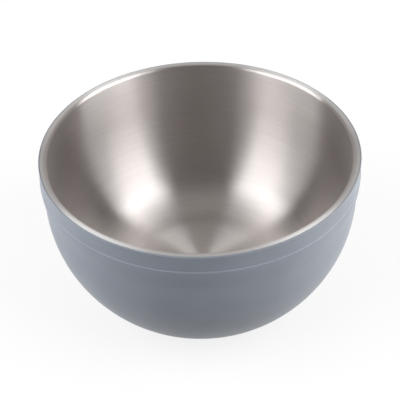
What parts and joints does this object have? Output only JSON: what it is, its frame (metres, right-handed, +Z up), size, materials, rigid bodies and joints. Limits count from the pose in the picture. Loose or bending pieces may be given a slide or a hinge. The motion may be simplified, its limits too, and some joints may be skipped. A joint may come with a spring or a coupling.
{
  "type": "insulated bowl",
  "caption": "Open double-wall insulated bowl: brushed steel liner with a flat floor and rim, coated round shell with a collar and ledge for a lid, flat foot.",
  "frame": {"origin": "centre of the foot, in the plane that the bowl stands on", "axes": "+Z up along the bowl's axis, out of its mouth; X and Y in the foot's plane, free to choose on a round bowl, with -Y towards the picture's camera"},
  "size_m": [0.1908, 0.1908, 0.103],
  "materials": {
    "liner_steel": "brushed around the bowl's axis, satin",
    "shell_coat": "matt blue-grey coat with a very fine grain",
    "foil": "bright, slightly creased",
    "cup_steel": "plain mill finish",
    "getter_metal": "pressed and sintered, dark grey",
    "seal_glass": "fused, slightly cloudy",
    "plate_steel": "turned, fine rings"
  },
  "bodies": {
    "root": {"inner_bowl": "liner_steel", "outer_shell": "shell_coat", "heat_shield": "foil", "getter_cup": "cup_steel", "getter_pellet": "getter_metal", "vacuum_seal": "seal_glass", "base_plate": "plate_steel"}
  },
  "joints": []
}
